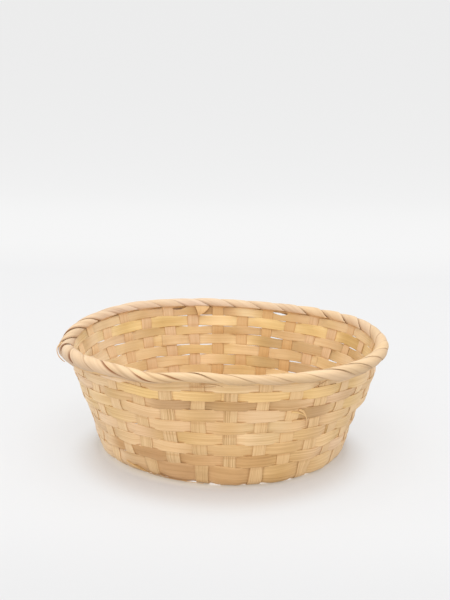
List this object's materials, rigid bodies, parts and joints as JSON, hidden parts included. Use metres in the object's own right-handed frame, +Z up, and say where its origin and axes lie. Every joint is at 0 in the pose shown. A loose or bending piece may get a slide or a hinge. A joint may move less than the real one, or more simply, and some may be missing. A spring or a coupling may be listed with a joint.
{
  "type": "woven bamboo basket",
  "caption": "Round open basket plaited from flat split-bamboo strips, with flaring sides and a rolled rim, for bread, fruit or small items.",
  "frame": {"origin": "on the floor, under the middle of the base", "axes": "+Z up through the open top; the pictured side faces -Y"},
  "size_m": [0.2188, 0.2188, 0.076],
  "materials": {
    "stake_bamboo": "raw split bamboo, fibrous",
    "weaver_bamboo": "raw split bamboo, satin",
    "hoop_bamboo": "raw bamboo"
  },
  "bodies": {
    "root": {"stake_x_1": "stake_bamboo", "stake_x_2": "stake_bamboo", "stake_x_3": "stake_bamboo", "stake_x_4": "stake_bamboo", "stake_x_5": "stake_bamboo", "stake_x_6": "stake_bamboo", "stake_x_7": "stake_bamboo", "stake_x_8": "stake_bamboo", "stake_y_1": "stake_bamboo", "stake_y_2": "stake_bamboo", "stake_y_3": "stake_bamboo", "stake_y_4": "stake_bamboo", "stake_y_5": "stake_bamboo", "stake_y_6": "stake_bamboo", "stake_y_7": "stake_bamboo", "stake_y_8": "stake_bamboo", "weaver_row_1": "weaver_bamboo", "weaver_row_2": "weaver_bamboo", "weaver_row_3": "weaver_bamboo", "weaver_row_4": "weaver_bamboo", "weaver_row_5": "weaver_bamboo", "weaver_row_6": "weaver_bamboo", "weaver_row_7": "weaver_bamboo", "weaver_row_8": "weaver_bamboo", "weaver_row_9": "weaver_bamboo", "rim_hoop": "hoop_bamboo"}
  },
  "joints": []
}
